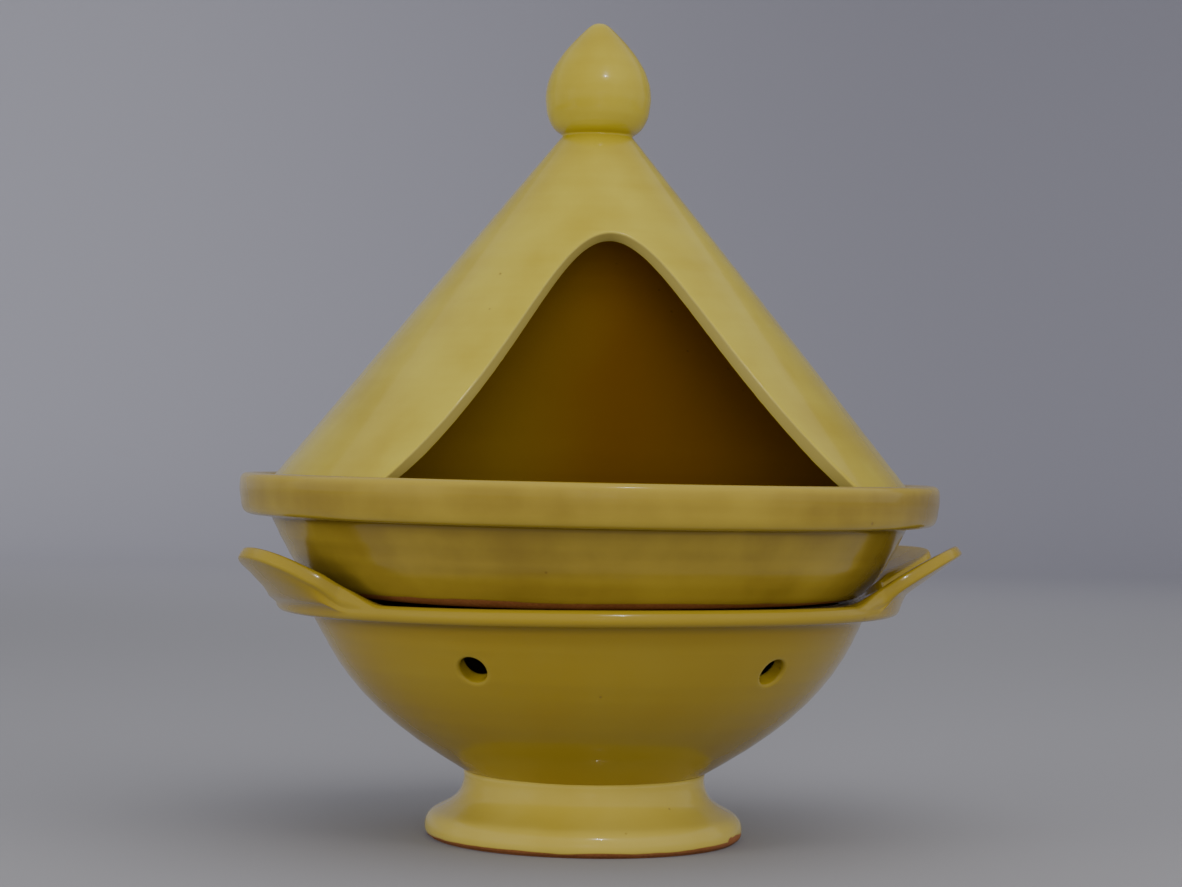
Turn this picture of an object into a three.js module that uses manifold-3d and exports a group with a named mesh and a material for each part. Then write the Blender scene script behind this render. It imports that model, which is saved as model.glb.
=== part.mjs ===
// Tagine: a glazed earthenware dish with a windowed cone lid, standing on a footed charcoal brazier.
// Millimetres, +Z up. The origin is the centre of the foot's resting face, and the lid's window faces -Y.

import * as THREE from 'three';
import { mergeVertices } from 'three/addons/utils/BufferGeometryUtils.js';
import Module from 'manifold-3d';

const wasm = await Module();
wasm.setup();

// How finely round forms are faceted.
const SIDES = 52;
const VENT_SIDES = 16;
const CURVE_STEPS = 6;
const CORNER_STEPS = 3;
const LUG_STEPS = 12;
const WINDOW_STEPS = 18;

// How many halvings find a height on a curve, and how far a cutting tool reaches past what it cuts.
const HALVINGS = 40;
const CUT_MARGIN = 12;

// Gap between two pieces: a loose piece and its seat, or two clay pieces joined by a film of slip.
const SEAT_GAP = 0.3;

// Brazier foot: a hollow pedestal with a rolled lip that flares in to a narrow neck.
const FOOT_HEIGHT = 28;
const FOOT_RADIUS = 66;
const FOOT_LIP_BULGE = 3.2;
const FOOT_LIP_HEIGHT = 11.7;
const FOOT_LIP_SHOULDER = 2;
const FOOT_LIP_ROLL = { low: 1.5, high: 3.2 };
const FOOT_FLARE = { out: 6, rise: 3.3, drop: 9 };
const FOOT_RING_WIDTH = 10;
const FOOT_HOLLOW = { drop: 12.6, rise: 11.2 };
const NECK_RADIUS = 51;
const NECK_WALL = 9;

// Brazier bowl: a round bowl whose wall turns out into a flange with a fully rounded edge.
const BOWL_HEIGHT = 78;
const BOWL_WALL = 7;
const BOWL_BELLY = { low: 36, high: 33 };
const BOWL_BASE_DEGREES = 30;
const BOWL_MOUTH_DEGREES = 69;
const MOUTH_WALL = 9.5;
const MOUTH_EDGE_RADIUS = 2;
const FLANGE_OVERHANG = 16.5;
const FLANGE_THICKNESS = 6.7;
const FLANGE_FILLET = 4.5;

// Vent holes: bored square to the bowl's wall, round it at angles spaced by eye.
const VENT_DEGREES = [24, 96, 168, 240.6, 308.4];
const VENT_RADIUS = 6;
const VENT_HEIGHT = 78.2;

// Lugs: tongues bent up by hand from the flange's edge, two on the right and one on the left.
const LUGS = {
  front_right: { degrees: -15.5, tilt: 35.5, thickness: 6, reach: 26, tipHalfWidth: 32 },
  back_right: { degrees: 22.8, tilt: 27.2, thickness: 6, reach: 29.5, tipHalfWidth: 45 },
  left: { degrees: 203, tilt: 29, thickness: 7, reach: 26, tipHalfWidth: 34 },
};
const LUG_BEND = { outset: 0.5, rise: 5 };
const LUG_HEEL = { outset: 1.2, drop: 4.7, run: 2 };
const LUG_ROOT_INSET = 12.5;
const LUG_ROOT_DEGREES = 18.7;
const LUG_ROOT_SWEEP = 18;

// Dish: a shallow wall under a heavy rim band, with a gallery inside the band for the lid.
const DISH_HEIGHT = 48.1;
const DISH_BASE_RADIUS = 112.5;
const DISH_RIM_RADIUS = 150;
const DISH_WALL = 7;
const DISH_SEAT_OVERLAP = 4.5;
const DISH_WALL_BELLY = { foot: 6.5, footRise: 1.5, top: 8.5, topDrop: 17.3 };
const BAND_HEIGHT = 17.8;
const BAND_OVERHANG = 13.5;
const BAND_TAPER = 1.2;
const BAND_CORNER_RADIUS = 3.2;
const RIM_WALL = 7.5;
const RIM_INNER_RADIUS = 1.6;
const GALLERY_DEPTH = 7.4;
const GALLERY_LEDGE = 11.5;

// Lid: a straight cone of even wall, closed under the knob.
const LID_PLAY = 1.8;
const LID_CONE_HEIGHT = 154.7;
const LID_WALL = 5.8;
const LID_CROWN = 12;

// Window: a bell-shaped arch cut square through the lid's wall and out through its bottom edge.
const WINDOW_HEIGHT = 109.6;
const WINDOW_HALF_WIDTH = 114.3;
const WINDOW_CROWN = 26;
const WINDOW_WAIST = { halfWidth: 46, height: 44 };
const WINDOW_TURN_DEGREES = 2.6;

// Knob: an onion form that sits on the cone's flat top.
const KNOB_HEIGHT = 49.4;
const KNOB_NECK_RADIUS = 15.3;
const KNOB_RADIUS = 22.7;
const KNOB_BELLY_HEIGHT = 17;
const KNOB_TIP_RADIUS = 5;
const KNOB_TIP_HEIGHT = 2.1;
const KNOB_NECK_CURVE = { out: 5.2, rise: 3.4, drop: 7.6 };
const KNOB_SHOULDER_CURVE = { rise: 12, out: 8, drop: 7.5 };
const KNOB_TIP_CURVE = { out: 3.3, drop: 0.7, flat: 2 };

// Yellow-ochre glaze, a little different on each piece with its thickness.
const GLAZE = {
  foot: 0xb8a355,
  bowl: 0xa88f3a,
  lug: 0xb59e50,
  dish: 0xae9843,
  cone: 0xbcaa5f,
  knob: 0xbca656,
};
const GLAZE_ROUGHNESS = 0.2;

// Levels and radii that follow from the driving dimensions.
const footTop = FOOT_HEIGHT - SEAT_GAP;
const rimTop = FOOT_HEIGHT + BOWL_HEIGHT;
const flangeBottom = rimTop - FLANGE_THICKNESS;
const mouthRadius = DISH_BASE_RADIUS - DISH_SEAT_OVERLAP;
const bowlRadius = mouthRadius + MOUTH_WALL;
const flangeRadius = bowlRadius + FLANGE_OVERHANG;
const lipRadius = FLANGE_THICKNESS / 2;

const dishBottom = rimTop + SEAT_GAP;
const dishTop = dishBottom + DISH_HEIGHT;
const bandBottom = dishTop - BAND_HEIGHT;
const wallTopRadius = DISH_RIM_RADIUS - BAND_OVERHANG;
const galleryRadius = DISH_RIM_RADIUS - RIM_WALL;
const ledgeLevel = dishTop - GALLERY_DEPTH;

const lidBottom = ledgeLevel + SEAT_GAP;
const lidRadius = galleryRadius - LID_PLAY;
const lidTop = lidBottom + LID_CONE_HEIGHT;
const lidSlope = (lidRadius - KNOB_NECK_RADIUS) / LID_CONE_HEIGHT;
const lidLean = Math.atan(lidSlope);
const lidLevelWall = LID_WALL / Math.cos(lidLean);
const lidCeiling = lidTop - LID_CROWN;

/** The lid's outer radius at a height above the ground. */
function lidRadiusAt(z) {
  return lidRadius - lidSlope * (z - lidBottom);
}

/** Points of a cubic curve from the first corner to the last, drawn towards the two between them. */
function curve(corners, steps = CURVE_STEPS) {
  const points = corners.map(([radius, height]) => new THREE.Vector2(radius, height));
  return new THREE.CubicBezierCurve(...points).getPoints(steps);
}

/** Points of a round corner about a centre, from one angle to another in degrees. */
function corner(radius, height, bend, from, to, steps = CORNER_STEPS) {
  const [a, b] = [from, to].map(THREE.MathUtils.degToRad);
  return new THREE.EllipseCurve(radius, height, bend, bend, a, b, b < a).getPoints(steps);
}

/** Points of one profile moved towards its left by a wall thickness, square to the profile. */
function inset(points, wall) {
  return points.map((point, i) => {
    const before = points[Math.max(i - 1, 0)];
    const after = points[Math.min(i + 1, points.length - 1)];
    const along = after.clone().sub(before).normalize();
    return new THREE.Vector2(point.x - along.y * wall, point.y + along.x * wall);
  });
}

/** A piece turned on the wheel: an outline of radius and height, closed on itself, spun about Z. */
function turned(outline) {
  const points = outline.map((p) => (p.isVector2 ? p : new THREE.Vector2(...p)));
  if (points[0].x > 0) points.push(points[0].clone());
  return new THREE.LatheGeometry(points, SIDES).rotateX(Math.PI / 2);
}

/** A geometry as a solid that can be joined and cut. */
function solid(geometry) {
  const bare = geometry.clone();
  bare.deleteAttribute('normal');
  bare.deleteAttribute('uv');
  const merged = mergeVertices(bare);
  const corners = merged.index.array;
  const kept = [];
  for (let i = 0; i < corners.length; i += 3) {
    const [a, b, c] = corners.slice(i, i + 3);
    if (a !== b && b !== c && c !== a) kept.push(a, b, c);
  }
  return new wasm.Manifold(new wasm.Mesh({
    numProp: 3,
    vertProperties: merged.attributes.position.array,
    triVerts: new Uint32Array(kept),
  }));
}

/** A solid back as a geometry. */
function shape(made) {
  const mesh = made.getMesh();
  return new THREE.BufferGeometry()
    .setAttribute('position', new THREE.BufferAttribute(mesh.vertProperties, 3))
    .setIndex(new THREE.BufferAttribute(mesh.triVerts, 1));
}

/** One named piece with its glaze colour. */
function piece(name, geometry, colour) {
  const glaze = new THREE.MeshStandardMaterial({ color: colour, roughness: GLAZE_ROUGHNESS, metalness: 0 });
  const mesh = new THREE.Mesh(geometry, glaze);
  mesh.name = name;
  return mesh;
}

/** The pedestal: rolled lip, concave flare to the neck, and a hollow that follows it inside. */
function footGeometry() {
  const shoulder = FOOT_RADIUS - FOOT_LIP_SHOULDER;
  const lip = curve([
    [FOOT_RADIUS, 0],
    [FOOT_RADIUS + FOOT_LIP_BULGE, FOOT_LIP_ROLL.low],
    [FOOT_RADIUS + FOOT_LIP_BULGE, FOOT_LIP_HEIGHT - FOOT_LIP_ROLL.high],
    [shoulder, FOOT_LIP_HEIGHT],
  ]);
  const neck = curve([
    [shoulder, FOOT_LIP_HEIGHT],
    [NECK_RADIUS + FOOT_FLARE.out, FOOT_LIP_HEIGHT + FOOT_FLARE.rise],
    [NECK_RADIUS, footTop - FOOT_FLARE.drop],
    [NECK_RADIUS, footTop],
  ]);
  const ring = FOOT_RADIUS - FOOT_RING_WIDTH;
  const bore = NECK_RADIUS - NECK_WALL;
  const hollow = curve([
    [bore, footTop],
    [bore, footTop - FOOT_HOLLOW.drop],
    [ring, FOOT_HOLLOW.rise],
    [ring, 0],
  ]);
  return turned([...lip, ...neck.slice(1), ...hollow]);
}

/** The bowl's outer wall, from the neck up to the turn of the flange. */
function bowlWall() {
  const [base, mouth] = [BOWL_BASE_DEGREES, BOWL_MOUTH_DEGREES].map(THREE.MathUtils.degToRad);
  const { low, high } = BOWL_BELLY;
  const top = flangeBottom - FLANGE_FILLET;
  return new THREE.CubicBezierCurve(
    new THREE.Vector2(NECK_RADIUS, FOOT_HEIGHT),
    new THREE.Vector2(NECK_RADIUS + low * Math.cos(base), FOOT_HEIGHT + low * Math.sin(base)),
    new THREE.Vector2(bowlRadius - high * Math.cos(mouth), top - high * Math.sin(mouth)),
    new THREE.Vector2(bowlRadius, top),
  );
}

/** The flange's fully rounded edge, from its underside to its top, grown all round by a gap. */
function flangeEdge(growth = 0) {
  const bend = lipRadius + growth;
  return corner(flangeRadius - lipRadius, rimTop - lipRadius, bend, -90, 90, 2 * CORNER_STEPS);
}

/** The flange's section as a ring with a gap all round: the seat that a lug is shaped to. */
function lugSeat() {
  return turned([
    [bowlRadius, flangeBottom - SEAT_GAP],
    ...flangeEdge(SEAT_GAP),
    [bowlRadius, rimTop + SEAT_GAP],
  ]);
}

/** The bowl with its flange and flat top, hollow to an even wall, and bored with vents. */
function bowlGeometry() {
  const wall = bowlWall();
  const outside = wall.getPoints(CURVE_STEPS + 2);
  const inside = inset(outside, BOWL_WALL).reverse();
  const floor = inside[inside.length - 1].y;
  const turn = FLANGE_FILLET;
  const fillet = corner(bowlRadius + turn, flangeBottom - turn, turn, 180, 90);
  const bend = MOUTH_EDGE_RADIUS;
  const mouth = corner(mouthRadius + bend, rimTop - bend, bend, 90, 180);
  const bowl = turned([
    [0, FOOT_HEIGHT],
    ...outside,
    ...fillet.slice(1),
    ...flangeEdge(),
    ...mouth,
    ...inside,
    [0, floor],
  ]);
  let bored = solid(bowl);
  for (const degrees of VENT_DEGREES) bored = bored.subtract(solid(ventBorer(wall, degrees)));
  return shape(bored);
}

/** Where along a rising curve it reaches a height, found by halving. */
function reaches(rising, height) {
  let [low, high] = [0, 1];
  for (let i = 0; i < HALVINGS; i += 1) {
    const middle = (low + high) / 2;
    if (rising.getPoint(middle).y < height) low = middle;
    else high = middle;
  }
  return low;
}

/** A round borer square to the bowl's wall at the vents' height, turned to an angle about Z. */
function ventBorer(wall, degrees) {
  const at = reaches(wall, VENT_HEIGHT);
  const middle = wall.getPoint(at);
  const along = wall.getTangent(at);
  const lean = Math.atan2(along.x, along.y);
  const length = 2 * (BOWL_WALL + CUT_MARGIN);
  return new THREE.CylinderGeometry(VENT_RADIUS, VENT_RADIUS, length, VENT_SIDES)
    .rotateZ(Math.PI / 2)
    .rotateY(lean)
    .translate(middle.x, 0, middle.y)
    .rotateZ(THREE.MathUtils.degToRad(degrees));
}

/** A lug's leaning slab as a whole ring, shaped to the flange's edge, before it is cut to a tongue. */
function lugRing({ tilt, thickness, reach }) {
  const lean = THREE.MathUtils.degToRad(tilt);
  const [along, rise] = [Math.cos(lean), Math.sin(lean)];
  const bend = [flangeRadius + LUG_BEND.outset, rimTop + LUG_BEND.rise];
  const slab = (run, side) => [
    bend[0] + run * along - side * (thickness / 2) * rise,
    bend[1] + run * rise + side * (thickness / 2) * along,
  ];
  const outer = (reach + CUT_MARGIN) / along;
  const ring = turned([
    [flangeRadius - lipRadius, rimTop - lipRadius],
    [flangeRadius + LUG_HEEL.outset, rimTop - LUG_HEEL.drop],
    slab(LUG_HEEL.run, -1),
    slab(outer, -1),
    slab(outer, 1),
    slab(0, 1),
    [flangeRadius - LUG_ROOT_INSET, rimTop + SEAT_GAP],
  ]);
  return solid(ring).subtract(solid(lugSeat()));
}

/** A lug seen from above: a tongue that flows out of the flange's edge to a round tip. */
function tongue({ reach, tipHalfWidth }) {
  const rootAngle = THREE.MathUtils.degToRad(LUG_ROOT_DEGREES);
  const half = flangeRadius * Math.sin(rootAngle);
  const edge = flangeRadius * Math.cos(rootAngle) - SEAT_GAP;
  const tip = flangeRadius + reach;
  const rise = LUG_ROOT_SWEEP * Math.sin(rootAngle);
  const run = LUG_ROOT_SWEEP * Math.cos(rootAngle);
  const inner = edge - CUT_MARGIN;
  const innerHalf = half * (inner / edge);
  const plan = new THREE.Shape()
    .moveTo(inner, -innerHalf)
    .lineTo(edge, -half)
    .bezierCurveTo(edge + rise, run - half, tip, -tipHalfWidth, tip, 0)
    .bezierCurveTo(tip, tipHalfWidth, edge + rise, half - run, edge, half)
    .lineTo(inner, innerHalf);
  const depth = 2 * (reach + FLANGE_THICKNESS);
  return new THREE.ExtrudeGeometry(plan, { depth, bevelEnabled: false, curveSegments: LUG_STEPS })
    .translate(0, 0, rimTop - depth / 2);
}

/** The dish: bellied wall, overhanging rim band, and the gallery that the lid stands in. */
function dishGeometry() {
  const { foot, footRise, top, topDrop } = DISH_WALL_BELLY;
  const outside = curve([
    [DISH_BASE_RADIUS, dishBottom],
    [DISH_BASE_RADIUS + foot, dishBottom + footRise],
    [wallTopRadius - top, bandBottom - topDrop],
    [wallTopRadius, bandBottom],
  ], CURVE_STEPS + 2);
  const inside = inset(outside, DISH_WALL).reverse();
  const bend = BAND_CORNER_RADIUS;
  const bandFoot = corner(DISH_RIM_RADIUS - BAND_TAPER - bend, bandBottom + bend, bend, -90, 0);
  const bandHead = corner(DISH_RIM_RADIUS - bend, dishTop - bend, bend, 0, 90);
  const ease = RIM_INNER_RADIUS;
  const lip = corner(galleryRadius + ease, dishTop - ease, ease, 90, 180);
  return turned([
    [0, dishBottom],
    ...outside,
    ...bandFoot,
    ...bandHead,
    ...lip,
    [galleryRadius, ledgeLevel],
    [galleryRadius - GALLERY_LEDGE, ledgeLevel],
    ...inside,
    [0, inside[inside.length - 1].y],
  ]);
}

/** How far the window's cutter stands off the wall, so that its flat front clears the round cone. */
function windowReach() {
  const halfAngle = WINDOW_HALF_WIDTH / lidRadius;
  return ((lidRadius + CUT_MARGIN) / Math.cos(halfAngle) - lidRadius) / Math.cos(lidLean);
}

/** The lid's window as a flat outline: distance round the cone against height above the lid's edge. */
function windowOutline() {
  const { halfWidth, height } = WINDOW_WAIST;
  const sill = -windowReach() * Math.sin(lidLean) - CUT_MARGIN;
  return new THREE.Shape()
    .moveTo(-WINDOW_HALF_WIDTH, sill)
    .lineTo(WINDOW_HALF_WIDTH, sill)
    .lineTo(WINDOW_HALF_WIDTH, 0)
    .bezierCurveTo(halfWidth, height, WINDOW_CROWN, WINDOW_HEIGHT, 0, WINDOW_HEIGHT)
    .bezierCurveTo(-WINDOW_CROWN, WINDOW_HEIGHT, -halfWidth, height, -WINDOW_HALF_WIDTH, 0);
}

/** The window's cutter: the flat outline wrapped round the cone, and swept square through the wall. */
function windowCutter() {
  const inward = LID_WALL + CUT_MARGIN;
  const turn = THREE.MathUtils.degToRad(WINDOW_TURN_DEGREES);
  const flat = new THREE.ExtrudeGeometry(windowOutline(), {
    depth: windowReach() + inward,
    bevelEnabled: false,
    curveSegments: WINDOW_STEPS,
  });
  const place = flat.getAttribute('position');
  for (let i = 0; i < place.count; i += 1) {
    const z = lidBottom + place.getY(i);
    const out = place.getZ(i) - inward;
    const angle = turn + place.getX(i) / lidRadiusAt(z);
    const radius = lidRadiusAt(z) + out * Math.cos(lidLean);
    place.setXYZ(i, radius * Math.sin(angle), -radius * Math.cos(angle), z + out * Math.sin(lidLean));
  }
  return flat;
}

/** The lid's cone with its window. */
function coneGeometry() {
  const cone = turned([
    [lidRadius - lidLevelWall, lidBottom],
    [lidRadius, lidBottom],
    [KNOB_NECK_RADIUS, lidTop],
    [0, lidTop],
    [0, lidCeiling],
    [lidRadiusAt(lidCeiling) - lidLevelWall, lidCeiling],
  ]);
  return shape(solid(cone).subtract(solid(windowCutter())));
}

/** The knob: a full belly over a drawn-in neck, rising to a blunt tip. */
function knobGeometry() {
  const base = lidTop + SEAT_GAP;
  const belly = base + KNOB_BELLY_HEIGHT;
  const tip = lidTop + KNOB_HEIGHT;
  const shoulder = tip - KNOB_TIP_HEIGHT;
  const lower = curve([
    [KNOB_NECK_RADIUS, base],
    [KNOB_NECK_RADIUS + KNOB_NECK_CURVE.out, base + KNOB_NECK_CURVE.rise],
    [KNOB_RADIUS, belly - KNOB_NECK_CURVE.drop],
    [KNOB_RADIUS, belly],
  ]);
  const upper = curve([
    [KNOB_RADIUS, belly],
    [KNOB_RADIUS, belly + KNOB_SHOULDER_CURVE.rise],
    [KNOB_TIP_RADIUS + KNOB_SHOULDER_CURVE.out, shoulder - KNOB_SHOULDER_CURVE.drop],
    [KNOB_TIP_RADIUS, shoulder],
  ]);
  const end = curve([
    [KNOB_TIP_RADIUS, shoulder],
    [KNOB_TIP_CURVE.out, tip - KNOB_TIP_CURVE.drop],
    [KNOB_TIP_CURVE.flat, tip],
    [0, tip],
  ], CORNER_STEPS);
  return turned([[0, base], ...lower, ...upper.slice(1), ...end.slice(1)]);
}

const tagine = new THREE.Group();

tagine.add(piece('brazier_foot', footGeometry(), GLAZE.foot));
tagine.add(piece('brazier_bowl', bowlGeometry(), GLAZE.bowl));

for (const [place, lug] of Object.entries(LUGS)) {
  const cut = tongue(lug).rotateZ(THREE.MathUtils.degToRad(lug.degrees));
  tagine.add(piece(`brazier_lug_${place}`, shape(lugRing(lug).intersect(solid(cut))), GLAZE.lug));
}

tagine.add(piece('dish', dishGeometry(), GLAZE.dish));
tagine.add(piece('lid_cone', coneGeometry(), GLAZE.cone));
tagine.add(piece('lid_knob', knobGeometry(), GLAZE.knob));

export default tagine;
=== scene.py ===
# Tagine of glazed earthenware: a windowed cone lid on a rimmed dish, on a footed charcoal brazier.
# Shapes are worked out in millimetres about the common axis, and stored in metres where the solids are.

import math

import bmesh
import bpy
import numpy as np
from mathutils import Matrix


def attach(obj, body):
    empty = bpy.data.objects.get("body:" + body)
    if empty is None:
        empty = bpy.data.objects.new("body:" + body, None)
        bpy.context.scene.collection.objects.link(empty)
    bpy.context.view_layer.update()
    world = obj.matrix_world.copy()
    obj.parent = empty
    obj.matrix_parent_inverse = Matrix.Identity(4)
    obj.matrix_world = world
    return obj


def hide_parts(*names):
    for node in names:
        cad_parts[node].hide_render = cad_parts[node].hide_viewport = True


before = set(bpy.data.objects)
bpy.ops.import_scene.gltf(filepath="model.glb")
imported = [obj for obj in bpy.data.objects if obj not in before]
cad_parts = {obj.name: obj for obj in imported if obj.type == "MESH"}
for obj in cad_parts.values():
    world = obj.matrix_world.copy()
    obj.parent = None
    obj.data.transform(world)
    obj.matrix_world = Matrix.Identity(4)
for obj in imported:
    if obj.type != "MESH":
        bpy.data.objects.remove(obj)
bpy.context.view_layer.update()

# Brazier foot: a flared pedestal of red earthenware, thrown hollow on the wheel with a rolled lip.
# It is luted under the bowl with slip, dipped with it in a glossy yellow-ochre glaze, and wiped bare
# along its resting edge, where the red clay shows in an uneven line.

FOOT_LIP = (66.0, 0.6), (69.4, 1.6), (69.4, 8.9), (63.6, 11.6)
FOOT_FLARE = (63.6, 11.6), (57.6, 14.6), (50.6, 17.6), (51.9, 28.4)
FOOT_HOLLOW = (42.0, 28.4), (42.0, 15.1), (56.0, 11.2), (56.0, 0.8)
FOOT_SOLE_EDGE = 0.8
FOOT_COLUMNS = 200
FOOT_UNEVEN = 0.3, 0.07, 0.9
CLAY_LIGHT = (0.300, 0.118, 0.040, 1)
CLAY_DARK = (0.170, 0.056, 0.016, 1)
SPECK = (0.105, 0.048, 0.012, 1)
# Paler than the bowl's tones, though foot and bowl share one glaze: painted light, which lifts the foot's flare
# out of the shade under the bowl.
FOOT_GLAZE_LIT_DEEP = (0.425, 0.317, 0.037, 1)
FOOT_GLAZE_LIT_PALE = (0.475, 0.368, 0.064, 1)
FOOT_BARE = 0.0024, 0.0022
FOOT_CHIP = (0.0635, -0.0275, 0.0030)
CHIP_SIZE, CHIP_RAGGED = 0.0050, 0.006
CHIP_SQUASH = (0.42, 0.42, 2.6)
CLAY_ROUGHNESS = 0.72
GLAZE_ROUGHNESS = 0.12
GLAZE_COAT = 0.25
GLAZE_GLOSS = {"IOR": 1.37, "Coat Roughness": 0.05, "Coat IOR": 1.5}
GLAZE_RELIEF = {"Strength": 0.35, "Distance": 0.0006}
SPECK_CELLS, SPECK_RADIUS = 105.0, 0.075


def curve(start, leaving, arriving, end, count=12):
    """Cubic curve of (radius, height) rows: it leaves its start towards one handle and reaches its end from the
    other. Each point is weighed by powers of t and 1 - t, with t from 0 to 1."""
    t = np.linspace(0, 1, count)[:, None]
    ends = (1 - t) ** 3 * np.array(start) + t ** 3 * np.array(end)
    return ends + 3 * t * (1 - t) ** 2 * np.array(leaving) + 3 * t * t * (1 - t) * np.array(arriving)


def bend(centre, radius, first, last, count=7):
    """Round corner: (radius, height) rows at one distance from a centre, between two angles in degrees."""
    a = np.radians(np.linspace(first, last, count))
    return np.array(centre) + radius * np.stack([np.cos(a), np.sin(a)], 1)


def outline(*runs):
    """One outline from several runs of rows, without a row that repeats the one before it."""
    rows = np.concatenate([np.atleast_2d(np.array(run, float)) for run in runs])
    step = np.linalg.norm(np.diff(rows, axis=0), axis=1)
    return rows[np.concatenate([[True], step > 1e-6])]


def edges(rows, reach=3.0):
    """How an outline turns at each row: near 1 on a rolled edge, -1 in a crease, 0 along a plain wall.
    The turn between the steps before and after a row is divided by their length, and then smoothed."""
    step = np.diff(rows, axis=0)
    heading = np.unwrap(np.arctan2(step[:, 1], step[:, 0]))
    length = np.linalg.norm(step, axis=1)
    turn = np.diff(heading) / (length[1:] + length[:-1]) * 2
    sharp = np.clip(np.pad(turn, 1) * reach, -1, 1)
    for _ in range(2):
        padded = np.pad(sharp, 1, mode="edge")
        sharp = (padded[:-2] + 2 * sharp + padded[2:]) / 4
    return sharp


def spun(rows, columns):
    """Turns an outline on the wheel: every (radius, height) row goes round the axis in equal steps."""
    a = np.linspace(0, 2 * np.pi, columns, endpoint=False)
    radius, height = rows.T
    sides = np.outer(radius, np.cos(a)), np.outer(radius, np.sin(a))
    return np.stack([*sides, np.outer(height, np.ones(columns))], -1)


def thrown(points, swell, ripple, phase):
    """Takes the evenness out of a turned form: its radius swells in two, three and five lobes, and finer
    rings run round it with the height, as a thrower's fingers leave them. Both fade out towards the axis."""
    x, y, z = np.moveaxis(points, -1, 0)
    a = np.arctan2(y, x)
    r = np.hypot(x, y)
    lobes = (np.cos(2 * a + phase) + 0.5 * np.cos(3 * a + 2 * phase + z / 60)
             + 0.3 * np.cos(5 * a - phase + z / 25))
    rings = (np.sin(z / 1.05 + 0.6 * np.sin(a + phase))
             + 0.6 * np.sin(z / 1.7 + phase + 0.8 * np.cos(2 * a)))
    grow = (swell * lobes + ripple * rings) / (r + 12)
    return points * np.stack([1 + grow, 1 + grow, np.ones_like(grow)], -1)


def quads(rows, columns, around=True):
    """Corner numbers of the faces of a grid; around closes its last column on its first."""
    number = np.arange(rows * columns).reshape(rows, columns)
    if around:
        number = np.concatenate([number, number[:, :1]], 1)
    return np.stack([number[:-1, :-1], number[:-1, 1:], number[1:, 1:], number[1:, :-1]], -1)


def patch(points, edge, faces=None, around=True):
    """A grid of points as one patch of a piece: points, how much of an edge each is on, and faces."""
    faces = quads(*points.shape[:2], around) if faces is None else faces
    edge = np.broadcast_to(edge, points.shape[:2])
    return points.reshape(-1, 3), edge.ravel(), faces.reshape(-1, 4)


def fired(name, body, nodes, material, patches):
    """One closed piece: its patches in metres, welded where they share points, with all faces outwards."""
    starts = np.cumsum([0] + [len(points) for points, _, _ in patches])
    points = np.concatenate([points for points, _, _ in patches]) / 1000
    edge = np.concatenate([edge for _, edge, _ in patches])
    faces = np.concatenate([faces + start for (_, _, faces), start in zip(patches, starts)])
    mesh = bpy.data.meshes.new(name)
    mesh.vertices.add(len(points))
    mesh.vertices.foreach_set("co", points.astype(np.float32).ravel())
    mesh.loops.add(faces.size)
    mesh.loops.foreach_set("vertex_index", faces.astype(np.int32).ravel())
    mesh.polygons.add(len(faces))
    mesh.polygons.foreach_set("loop_start", np.arange(0, faces.size, 4, dtype=np.int32))
    mesh.update(calc_edges=True)
    mesh.attributes.new("edge", "FLOAT", "POINT").data.foreach_set("value", edge.astype(np.float32))
    welded = bmesh.new()
    welded.from_mesh(mesh)
    bmesh.ops.remove_doubles(welded, verts=welded.verts, dist=2e-6)
    bmesh.ops.recalc_face_normals(welded, faces=welded.faces)
    welded.to_mesh(mesh)
    welded.free()
    mesh.polygons.foreach_set("use_smooth", np.ones(len(mesh.polygons), bool))
    mesh.materials.append(material)
    piece = bpy.data.objects.new(name, mesh)
    bpy.context.scene.collection.objects.link(piece)
    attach(piece, body)
    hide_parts(*nodes)


class Wash:
    """A value in a material's nodes. Arithmetic on two of them, or on one and a number, adds a Math node."""

    def __init__(self, tree, socket=None):
        self.tree, self.socket = tree, socket

    def node(self, kind, settings=(), values=(), out=0):
        """Adds a node: its settings are set first, then its sockets are linked or set. One output is given."""
        made = self.tree.nodes.new(kind)
        for key, value in dict(settings).items():
            setattr(made, key, value)
        for key, value in dict(values).items():
            if isinstance(value, Wash):
                self.tree.links.new(value.socket, made.inputs[key])
            else:
                made.inputs[key].default_value = value
        return Wash(self.tree, None if out is None else made.outputs[out])

    def maths(self, operation, a, b):
        """One Math node's operation on two values."""
        return self.node("ShaderNodeMath", {"operation": operation}, {0: a, 1: b})

    def __add__(self, other):
        return self.maths("ADD", self, other)

    __radd__ = __add__

    def __sub__(self, other):
        return self.maths("SUBTRACT", self, other)

    def __rsub__(self, other):
        return self.maths("SUBTRACT", other, self)

    def __mul__(self, other):
        return self.maths("MULTIPLY", self, other)

    __rmul__ = __mul__

    def between(self, low, high):
        """0 at low, 1 at high, and a smooth step from one to the other."""
        limits = {"Value": self, "From Min": low, "From Max": high}
        return self.node("ShaderNodeMapRange", {"interpolation_type": "SMOOTHSTEP"}, limits)

    def tint(self, first, second):
        """The first colour at 0, the second at 1."""
        return self.node("ShaderNodeMix", {"data_type": "RGBA"}, {0: self, 6: first, 7: second}, out=2)

    def cloud(self, scale, detail, stretch=(1, 1, 1)):
        """Noise on a place, at a scale in clouds per metre, drawn out along the axes by a stretch."""
        place = self.node("ShaderNodeVectorMath", {"operation": "MULTIPLY"}, {0: self, 1: stretch})
        return self.node("ShaderNodeTexNoise", (), {"Vector": place, "Scale": scale, "Detail": detail}, "Fac")


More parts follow.
